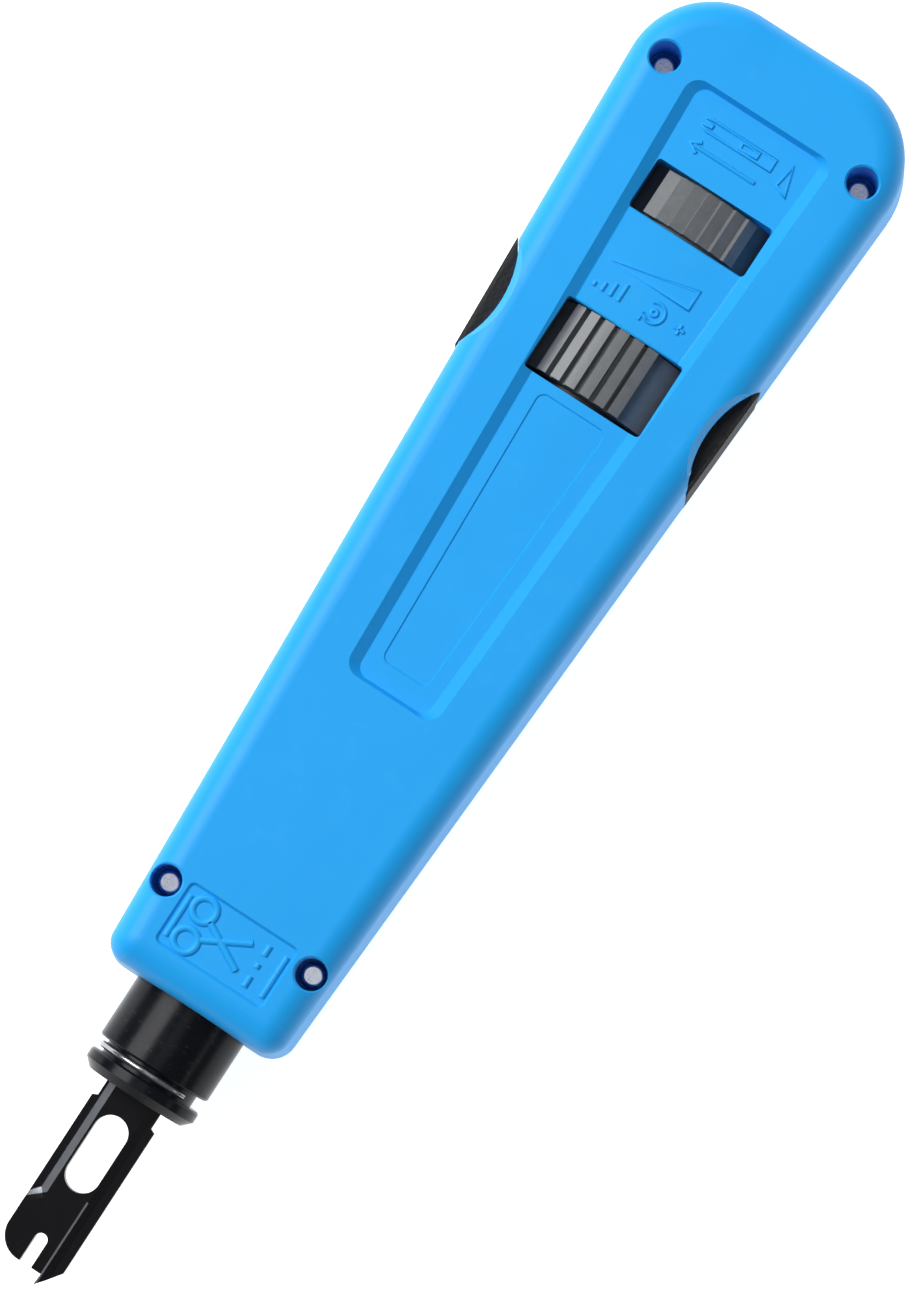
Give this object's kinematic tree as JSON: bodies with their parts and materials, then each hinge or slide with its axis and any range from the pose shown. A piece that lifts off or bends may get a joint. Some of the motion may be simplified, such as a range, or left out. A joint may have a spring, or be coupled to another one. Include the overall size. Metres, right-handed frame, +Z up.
{
  "type": "punch down tool",
  "caption": "Impact punch down tool with a tapered plastic handle, impact wheel, blade release and a bayonet blade",
  "frame": {"origin": "centre of the bottom of the bounding box, with the tool lying on its back", "axes": "+X along the tool from the handle to the blade, +Y to the side, +Z up out of the front of the case"},
  "size_m": [0.1812, 0.0388, 0.028],
  "materials": {
    "case": "moulded sky blue plastic with a satin finish",
    "grip": "black rubber",
    "control": "grey moulded plastic",
    "screw": "zinc plated",
    "black_steel": "black oxide",
    "steel": "machined steel",
    "spring_steel": "drawn wire",
    "bronze": "sintered bronze",
    "inner_plastic": "black acetal"
  },
  "bodies": {
    "case": {"front_shell": "case", "back_shell": "case", "case_screws": "screw", "left_grip_pad": "grip", "right_grip_pad": "grip", "nose_bushing": "bronze", "guide_barrel": "steel", "thrust_washers": "inner_plastic", "storage_tube": "inner_plastic", "storage_spring": "spring_steel"},
    "plunger": {"chuck": "black_steel", "detent_pin": "steel", "retaining_ring": "spring_steel", "striker_stem": "steel", "return_spring": "spring_steel"},
    "blade": {"blade": "black_steel"},
    "hammer": {"hammer": "steel", "sear_spring": "spring_steel"},
    "sear": {"sear": "steel"},
    "spring_seat": {"spring_seat": "steel", "main_spring": "spring_steel"},
    "impact_wheel": {"impact_wheel": "control"},
    "release_ring": {"release_ring": "control", "release_spring": "spring_steel"}
  },
  "joints": [
    {"name": "plunge", "type": "slide", "parent": "case", "child": "plunger", "axis": [-1, 0, 0], "range_m": [0, 0.008], "stiffness_N_per_m": 3000, "springref_m": -0.006, "deforming": ["return_spring", "main_spring"]},
    {"name": "hammer_slide", "type": "slide", "parent": "case", "child": "hammer", "axis": [-1, 0, 0], "range_m": [0, 0.008]},
    {"name": "sear_shift", "type": "slide", "parent": "hammer", "child": "sear", "axis": [0, 0, -1], "range_m": [0, 0.0009], "deforming": ["sear_spring"]},
    {"name": "blade_turn", "type": "hinge", "parent": "plunger", "child": "blade", "pos_m": [0.05855, 0, 0.014], "axis": [1, 0, 0], "range_deg": [0, 90]},
    {"name": "impact_wheel_turn", "type": "hinge", "parent": "case", "child": "impact_wheel", "pos_m": [-0.04245, 0, 0.014], "axis": [1, 0, 0], "range_deg": [0, 270]},
    {"name": "seat_advance", "type": "slide", "parent": "case", "child": "spring_seat", "axis": [1, 0, 0], "range_m": [0, 0.0045]},
    {"name": "release_turn", "type": "hinge", "parent": "case", "child": "release_ring", "pos_m": [-0.06445, 0, 0.014], "axis": [-1, 0, 0], "range_deg": [0, 7], "stiffness_Nm_per_rad": 0.05, "springref_deg": -5.73, "deforming": ["release_spring"]}
  ],
  "couplings": [
    {"joint": "hammer_slide", "follows": "plunge", "ratio": 1},
    {"joint": "sear_shift", "follows": "plunge", "ratio": 0.1125},
    {"joint": "impact_wheel_turn", "follows": "seat_advance", "rad_per_m": 1047.2}
  ]
}
